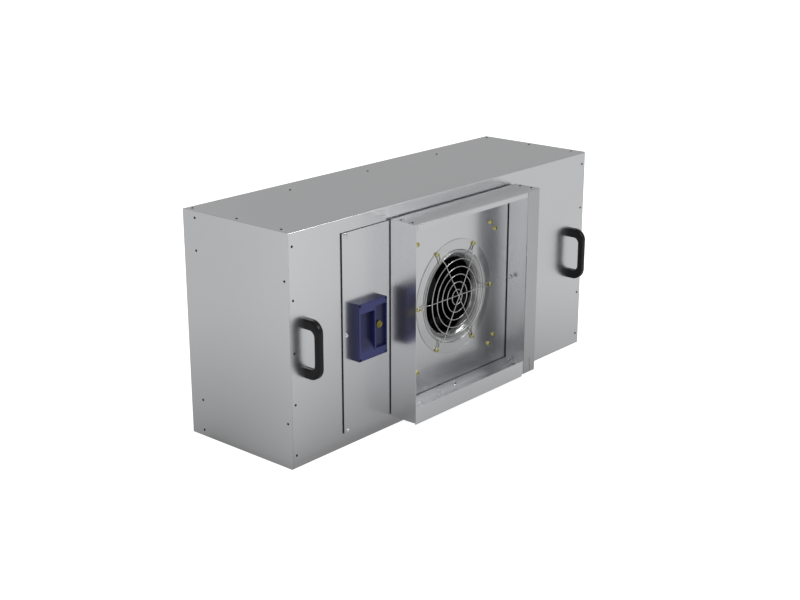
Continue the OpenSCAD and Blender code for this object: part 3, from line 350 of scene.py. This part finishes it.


# The collar's sheets have drawn lines along their length, upright at the sides and level elsewhere.
# Its front lips are shaded apart from its walls, between the two depths given in metres, with painted
# shade on the right lip and painted light on the bottom lip, and the controller's sides and recesses
# get painted shade apart from its front.
drawnSheet = {**finishes["sheet_metal"], "spread": 0.03, "rough": 0.27, "grain": 0.003,
              "relief": 0.00002}
lipDepths = (-0.2165, -0.2155)
lidDepths = (-0.1515, -0.1577)
finishes["collarLeft"] = {**drawnSheet, "stretch": (1, 1, 0.006)}
# Painted shade: the right sheet's front lip, in front of the first depth, is at 0.74 of its colour.
finishes["collarRight"] = {**finishes["collarLeft"], "paintedShadeAndLight": ("depth", *lipDepths, 0.74)}
finishes["collarTop"] = {**drawnSheet, "stretch": (0.006, 1, 1)}
# Painted light: the bottom sheet's front lip, in front of the first depth, is at 1.2 times its colour.
finishes["collarBottom"] = {**finishes["collarTop"], "paintedShadeAndLight": ("depth", *lipDepths, 1.2)}
finishes["collarSeal"] = {**finishes["seal_rubber"], "colour": (0.06, 0.06, 0.062)}
# Painted shade: the controller's sides and recesses, behind its front, fall to half its colour.
finishes["blue_plastic"]["paintedShadeAndLight"] = ("depth", *lidDepths, 0.5)
materials = {name: makeFinish(name, values) for name, values in finishes.items()}

for row in frame["record"]["subparts"]:
    mesh = nodes[row["node"]].data
    mesh.materials.clear()
    mesh.materials.append(materials[row["material_slot"]])
for node, name in (("collar_left", "collarLeft"), ("collar_right", "collarRight"),
                   ("collar_top", "collarTop"), ("collar_bottom", "collarBottom"),
                   ("collar_gasket", "collarSeal")):
    nodes[node].data.materials[0] = materials[name]
print("finishes given to the nodes")


def gridFaces(nu, nv, closedU=False, closedV=True):
    # The four corner numbers of every cell of a grid of nu by nv points, wrapped where it closes.
    u, v = np.meshgrid(np.arange(nu - (not closedU)), np.arange(nv - (not closedV)), indexing="ij")
    nextU, nextV = (u + 1) % nu, (v + 1) % nv
    return np.stack([u * nv + v, nextU * nv + v, nextU * nv + nextV, u * nv + nextV], -1).reshape(-1, 4)


def joinSurfaces(name, surfaces, slot, body, replaced, smoothAngle=40):
    # One mesh from several grids, each (points, closedU, closedV, capped), put in millimetres
    # behind the inlet face and moved into the frame as whole arrays.
    corners, faces, start = [], [], 0
    for points, closedU, closedV, capped in surfaces:
        nu, nv = points.shape[:2]
        corners.append(points.reshape(-1, 3))
        cells = gridFaces(nu, nv, closedU, closedV)
        # Six times the volume that the cells enclose about their middle, the sum over each of
        # a . (b x c + c x d), is below zero where they face inwards, and then they are turned.
        a, b, c, d = np.moveaxis((corners[-1] - corners[-1].mean(0))[cells], 1, 0)
        way = 1 if (a * (np.cross(b, c) + np.cross(c, d))).sum() > 0 else -1
        faces += (cells[:, ::way] + start).tolist()
        if capped:
            rim = np.arange(nv) + start
            faces += [rim[::-way].tolist(), (rim + (nu - 1) * nv)[::way].tolist()]
        start += nu * nv
    places = np.concatenate(corners) * mm + np.array([0, faceDepth, 0])
    mesh = bpy.data.meshes.new(name)
    mesh.from_pydata(places.tolist(), [], faces)
    mesh.update()
    mesh.materials.append(materials[slot])
    mesh.shade_smooth()
    mesh.set_sharp_from_angle(angle=math.radians(smoothAngle))
    piece = bpy.data.objects.new(name, mesh)
    bpy.context.scene.collection.objects.link(piece)
    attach(piece, body)
    if replaced:
        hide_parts(*replaced)
    return piece


def sweep(path, radius, sides, closed=False, across=(0.0, 1.0, 0.0)):
    # A round section of the given radius carried along a path. The section's two directions are
    # the tangent crossed with a fixed axis, and that result crossed with the tangent again.
    ahead = np.roll(path, -1, 0) - np.roll(path, 1, 0)
    if not closed:
        ahead[0], ahead[-1] = path[1] - path[0], path[-1] - path[-2]
    ahead /= np.linalg.norm(ahead, axis=1, keepdims=True)
    side = np.cross(ahead, across)
    side /= np.linalg.norm(side, axis=1, keepdims=True)
    up = np.cross(side, ahead)
    turn = np.arange(sides) * 2 * math.pi / sides
    r = np.broadcast_to(radius, len(path))[:, None, None]
    section = np.cos(turn)[:, None] * side[:, None] + np.sin(turn)[:, None] * up[:, None]
    return path[:, None] + r * section


def roundedPath(points, step, window):
    # The straight runs between the points, sampled evenly and averaged over a short window, which
    # bends the wire round each corner.
    points = np.asarray(points, float)
    gaps = np.linalg.norm(np.diff(points, axis=0), axis=1)
    along = np.concatenate([[0], np.cumsum(gaps)])
    at = np.arange(0, along[-1], step)
    dense = np.stack([np.interp(at, along, points[:, k]) for k in range(3)], -1)
    padded = np.concatenate([np.repeat(dense[:1], window, 0), dense, np.repeat(dense[-1:], window, 0)])
    kernel = np.ones(2 * window + 1) / (2 * window + 1)
    smooth = np.stack([np.convolve(padded[:, k], kernel, "valid") for k in range(3)], -1)
    smooth[0], smooth[-1] = dense[0], dense[-1]
    return smooth


def roundEnds(path, radius):
    # The section's radius along a wire whose two ends are turned round like half a ball.
    along = np.concatenate([[0], np.cumsum(np.linalg.norm(np.diff(path, axis=0), axis=1))])
    edge = np.minimum(along, along[-1] - along)
    inside = np.clip(edge / radius, 0.12, 1)
    return radius * np.sqrt(inside * (2 - inside))


guardValues = {
    "wire": 2.5,
    "ringRadii": (20, 40, 60, 80, 100),
    "ringDepth": -13.5,
    "outerRadius": 121,
    "outerDepth": -9.9,
    "wireDepth": -15.7,
    "footDepth": -6.75,
    "offset": 4.5,
    "bendIn": 114,
    "bendOut": 130,
    "screwRadius": 146.5,
    "angles": (0, 60, 120),
    "hookSteps": 13,
    "sampleStep": 0.8,
    "cornerSamples": 4,
    "ringSteps": 128,
    "sides": 12,
}


def makeGuard(v):
    # Rings are circles about the fan's axis; each wire runs across them, drops to the panel at
    # both ends, turns round a screw on half a circle and comes back to the outer ring.
    turn = np.arange(v["ringSteps"]) * 2 * math.pi / v["ringSteps"]
    surfaces = []
    rings = [(radius, v["ringDepth"]) for radius in v["ringRadii"]]
    for radius, depth in rings + [(v["outerRadius"], v["outerDepth"])]:
        path = np.stack([radius * np.cos(turn), np.full_like(turn, depth),
                         axisZ + radius * np.sin(turn)], -1)
        surfaces.append((sweep(path, v["wire"] / 2, v["sides"], closed=True), True, True, False))
    half = np.linspace(90, -90, v["hookSteps"]) * math.pi / 180
    hook = [(v["screwRadius"] + v["offset"] * math.cos(a), v["footDepth"], v["offset"] * math.sin(a))
            for a in half]
    end = [(v["bendIn"], v["wireDepth"], v["offset"]), (v["bendOut"], v["footDepth"], v["offset"]),
           *hook, (v["bendOut"], v["footDepth"], -v["offset"]),
           (v["outerRadius"], v["outerDepth"], -v["offset"])]
    start = [(-x, y, z) for x, y, z in end[::-1]]
    run = roundedPath(start + end, v["sampleStep"], v["cornerSamples"])
    thick = roundEnds(run, v["wire"] / 2)
    for angle in v["angles"]:
        c, s = math.cos(math.radians(angle)), math.sin(math.radians(angle))
        path = np.stack([c * run[:, 0] + s * run[:, 2], run[:, 1],
                         axisZ - s * run[:, 0] + c * run[:, 2]], -1)
        surfaces.append((sweep(path, thick, v["sides"]), False, True, True))
    joinSurfaces("guardWires", surfaces, "guard_wire", "housing", ["finger_guard"])


makeGuard(guardValues)
print("finger guard made")


nozzleValues = {"flangeRadius": 152, "throat": 93, "lip": 33, "wall": 1.0, "face": -5.5, "end": 44.5,
                "bendSteps": 22, "rimSteps": 7, "acrossSteps": 6, "downSteps": 5, "steps": 192}


def makeNozzle(v):
    # A closed section spun about the fan's axis: the flange, a quarter circle of the lip's radius,
    # the throat, a round edge at its end and the same line back at a wall's thickness.
    quarter = np.linspace(0, 1, v["bendSteps"])
    bend = (1 - quarter) * math.pi * 1.5 + quarter * math.pi
    centre = np.array([v["throat"] + v["lip"], v["face"] + v["lip"]])
    wall, half = v["wall"], v["wall"] / 2
    def bendAt(r):
        return centre + r * np.stack([np.cos(bend), np.sin(bend)], -1)
    def rim(middle, start):
        a = start + np.linspace(0, math.pi, v["rimSteps"])
        return np.array(middle) + half * np.stack([np.cos(a), np.sin(a)], -1)
    across = np.linspace(v["flangeRadius"] - wall, centre[0] + wall, v["acrossSteps"])
    down = np.linspace(centre[1] + wall, v["end"] - wall, v["downSteps"])
    outerRim = rim((v["flangeRadius"] - half, v["face"] + half), math.pi * 0.5)[::-1]
    endRim = rim((v["throat"] + half, v["end"] - half), math.pi)[::-1]
    section = np.concatenate([
        outerRim, np.stack([across, np.full_like(across, v["face"])], -1), bendAt(v["lip"]),
        np.stack([np.full_like(down, v["throat"]), down], -1), endRim,
        np.stack([np.full_like(down, v["throat"] + wall), down[::-1]], -1),
        bendAt(v["lip"] - wall)[::-1],
        np.stack([across[::-1], np.full_like(across, v["face"] + wall)], -1)])
    turn = np.arange(v["steps"]) * 2 * math.pi / v["steps"]
    r, y = section[None, :, 0], section[None, :, 1]
    points = np.stack([r * np.cos(turn)[:, None], y + 0 * turn[:, None],
                       axisZ + r * np.sin(turn)[:, None]], -1)
    joinSurfaces("spunNozzle", [(points, True, True, False)], "nozzle_metal", "housing",
                 ["inlet_nozzle"], 60)


makeNozzle(nozzleValues)
print("inlet nozzle made")


handleValues = {"x": 532, "middle": 287, "height": 145, "reach": 45, "width": 18, "shoulder": 30,
                "grip": 15.5, "leg": 25, "bevel": 4.2, "bends": 14, "straights": 6, "cornerSteps": 5}


def makeHandle(name, node, x, v):
    # The wall between an outer and an inner line, both of legs, round shoulders and a grip, with a
    # section of rounded corners between each pair of points of the two lines.
    def line(reach, low, radius):
        a = np.linspace(0, 1, v["bends"]) * math.pi / 2
        ahead = np.linspace(0, radius - reach, v["straights"])
        leg = np.stack([ahead, np.full_like(ahead, low)], -1)
        bend = radius * np.stack([-np.sin(a), -np.cos(a)], -1) + [radius - reach, low + radius]
        lower = np.concatenate([leg[:-1], bend])
        upper = lower[::-1] * [1, -1]
        grip = np.linspace(lower[-1], upper[0], v["straights"])[1:-1]
        return np.concatenate([lower, grip, upper])
    outer = line(v["reach"], -v["height"] / 2, v["shoulder"])
    inner = line(v["reach"] - v["grip"], -v["height"] / 2 + v["leg"], v["shoulder"] / 2)
    middle, reach = (outer + inner) / 2, (outer - inner) / 2
    half = np.linalg.norm(reach, axis=1, keepdims=True)
    out = reach / half
    r = v["bevel"]
    corner = np.linspace(0, math.pi / 2, v["cornerSteps"])
    turn = np.concatenate([q * math.pi / 2 + corner for q in range(4)])
    signA = np.repeat([1, -1, -1, 1], v["cornerSteps"])
    signB = np.repeat([1, 1, -1, -1], v["cornerSteps"])
    a = signA * (half - r) + r * np.cos(turn)
    b = signB * (v["width"] / 2 - r) + r * np.sin(turn)
    points = np.stack([x + b + 0 * a, middle[:, :1] + a * out[:, :1],
                       v["middle"] + middle[:, 1:] + a * out[:, 1:]], -1)
    joinSurfaces(name, [(points, False, True, True)], "handle_plastic", "housing", [node], 50)


makeHandle("leftGrip", "handle_left", -handleValues["x"], handleValues)
makeHandle("rightGrip", "handle_right", handleValues["x"], handleValues)
print("handles made")


knobValues = {
    "x": -310, "z": 293, "back": -21.5, "turn": 35, "flutes": 20, "steps": 120,
    # the turned line: radius, height above the back of the skirt, and depth of the flutes
    "line": [(3.0, -9.0, 0), (3.0, -0.1, 0), (3.3, 0, 0), (8.6, 0, 0), (9.0, 0.4, 0), (9.0, 1.4, 0),
             (8.5, 1.9, 0), (8.0, 2.1, 0), (7.6, 2.4, 0.4), (7.4, 3.6, 0.4), (6.8, 4.2, 0.2),
             (6.2, 4.4, 0), (0.4, 4.5, 0)],
    # the grip bar: half its length and thickness, then each outline's height and how far it is in
    "bar": (7.0, 2.9),
    "barRings": [(4.2, 0.0), (5.6, 0.12), (6.4, 0.3), (6.8, 0.7), (7.0, 1.3)],
    "barPowers": (0.5, 0.7),
}


def makeKnob(v):
    # A skirt and a fluted body turned about the shaft, whose radius falls by a small share of
    # (1 + cos(flutes * angle)) / 2, and a grip bar of superellipse outlines that draw in upwards.
    turn = np.arange(v["steps"]) * 2 * math.pi / v["steps"]
    c, s = np.cos(turn), np.sin(turn)
    radius, high, flute = np.array(v["line"]).T[:, :, None]
    r = radius - flute * (1 + np.cos(v["flutes"] * turn)) / 2
    body = np.stack([v["x"] + r * c, v["back"] - high + 0 * r, v["z"] + r * s], -1)
    up, inward = np.array(v["barRings"]).T[:, :, None]
    long, thick = v["bar"]
    u = (long - inward) * np.sign(c) * np.abs(c) ** v["barPowers"][0]
    w = (thick - inward) * np.sign(s) * np.abs(s) ** v["barPowers"][1]
    q = math.radians(v["turn"])
    bar = np.stack([v["x"] + u * math.cos(q) - w * math.sin(q), v["back"] - up + 0 * u,
                    v["z"] + u * math.sin(q) + w * math.cos(q)], -1)
    joinSurfaces("speedKnob", [(body, False, True, True), (bar, False, True, True)],
                 "yellow_plastic", "knob", ["speed_knob"], 35)


makeKnob(knobValues)
print("knob made")


def ringOf(radius, angles, steps):
    # Points round the fan's axis, each stepped sideways along the ring.
    places = []
    for angle in angles:
        c, s = math.cos(math.radians(angle)), math.sin(math.radians(angle))
        places += [(radius * c - step * s, axisZ + radius * s + step * c) for step in steps]
    return places


# The collar's screws stand round its base flanges, so none is at the fan's axis.
collarScrews = [(x, z) for x in (-237.5, 0, 237.5) for z in (47, 285, 524) if (x, z) != (0, 285)]
# Dark plugs set in the screw sockets, which are painted shade.
socketShadeValues = {
    # the screws' places, then the depths of the socket's floor and mouth, and its hexagon's radius
    "guardSocketShade": (ringOf(guardValues["screwRadius"], range(0, 360, 60), (0,)), -9.38, -11.3, 2.44),
    "bracketSocketShade": (ringOf(223.5, range(45, 360, 90), (-14.5, 14.5)), -6.28, -8.8, 2.58),
    "collarSocketShade": (collarScrews, -10.58, -12.8, 2.44),
}
mouthShare = 0.94


def makeSocketShade(name, places, floor, mouth, size):
    # Painted shade: a dark hexagonal plug in each socket, from its floor to near its mouth, a hexagon
    # of cos and sin of 60 degree steps with a slightly drawn in mouth, at every screw.
    hexagon = np.arange(6) * math.pi / 3
    surfaces = []
    for x, z in places:
        rings = [np.stack([x + q * np.cos(hexagon), np.full(6, y), z + q * np.sin(hexagon)], -1)
                 for q, y in ((size, floor), (size, (floor + mouth) / 2), (size * mouthShare, mouth))]
        surfaces.append((np.array(rings), False, True, True))
    joinSurfaces(name, surfaces, "black_screw", "housing", [], 30)


for name, values in socketShadeValues.items():
    makeSocketShade(name, *values)
print("sockets made")


pleatValues = {"half": 559.6, "pitch": 5.0, "paper": 0.5, "front": 150.2, "back": 206.8, "low": 15.2,
               "high": 554.8, "bend": 6, "beadPitch": 27, "bead": 0.9, "beadDepth": 0.3,
               "beadEnd": 5, "beadSides": 8}


def makePleats(v):
    # A sheet of filter paper folded to and fro: straight flanks joined by half circles of a
    # quarter of the pitch, with a second line a paper's thickness behind the first, and level
    # beads of glue that hold the folds apart.
    r = v["pitch"] / 4
    count = int(2 * v["half"] / v["pitch"]) - 1
    x0 = -count * v["pitch"] / 2
    a = np.linspace(0, math.pi, v["bend"])
    line = []
    for i in range(2 * count):
        x = x0 + (i + 0.5) * 2 * r
        y, way = ((v["back"] - r, 1), (v["front"] + r, -1))[i % 2]
        line.append(np.stack([x - r * np.cos(a), y + way * r * np.sin(a)], -1))
    line = np.concatenate(line)
    ahead = np.gradient(line, axis=0)
    ahead /= np.linalg.norm(ahead, axis=1, keepdims=True)
    other = line + v["paper"] * np.stack([ahead[:, 1], -ahead[:, 0]], -1)
    def at(points, z):
        return np.stack([points[:, 0], points[:, 1], np.full(len(points), z)], -1)
    sheet = np.stack([at(line, v["low"]), at(line, v["high"]),
                      at(other, v["high"]), at(other, v["low"])], 1)
    sheet -= [0, 1000 * faceDepth, 0]
    surfaces = [(sheet, False, True, True)]
    for z in np.arange(v["low"] + v["beadPitch"], v["high"] - v["beadEnd"], v["beadPitch"]):
        for y in (v["front"] + v["beadDepth"], v["back"] - v["beadDepth"]):
            path = np.array([[x0, y, z], [0, y, z], [-x0, y, z]]) - [0, 1000 * faceDepth, 0]
            surfaces.append((sweep(path, v["bead"], v["beadSides"]), False, True, True))
    joinSurfaces("filterPleats", surfaces, "filter_paper", "housing", ["pleat_pack"], 50)


makePleats(pleatValues)
print("pleats made")


cableValues = {"radius": 3.5, "sides": 20, "steps": 14,
               "route": [(-308, -8.5, 236), (-308, 30, 236), (-303, 72, 239), (-275, 118, 248),
                         (-225, 150, 262), (-165, 167, 276), (-110, 170, 284), (-60.1, 170, 285)]}


def makeCable(v):
    # A smooth curve through the route's points by Catmull and Rom's rule, with a round section.
    p = np.array(v["route"], float)
    p = np.concatenate([p[:1], p, p[-1:]])
    t = np.arange(v["steps"])[:, None] / v["steps"]
    runs = [(2 * b + (c - a) * t + (2 * a - 5 * b + 4 * c - d) * t ** 2
             + (3 * b - a - 3 * c + d) * t ** 3) / 2
            for a, b, c, d in zip(p, p[1:], p[2:], p[3:])]
    path = np.concatenate(runs + [p[-1:]])
    tube = sweep(path, v["radius"], v["sides"], across=(0.0, 0.0, 1.0))
    joinSurfaces("motorLead", [(tube, False, True, True)], "cable_sheath", "housing",
                 ["motor_cable"], 50)


makeCable(cableValues)
print("motor lead made")


def softenEdges(node, width):
    # Rounds the sharp edges of a moulded part by a fraction of a millimetre.
    weld = nodes[node].modifiers.new("weld", "WELD")
    weld.merge_threshold = 0.00001
    bevel = nodes[node].modifiers.new("softEdges", "BEVEL")
    bevel.width = width
    bevel.segments = 2
    bevel.limit_method = "ANGLE"
    bevel.angle_limit = math.radians(35)
    bevel.harden_normals = True


softenEdges("controller_lid", 0.0006)
print("edges softened")
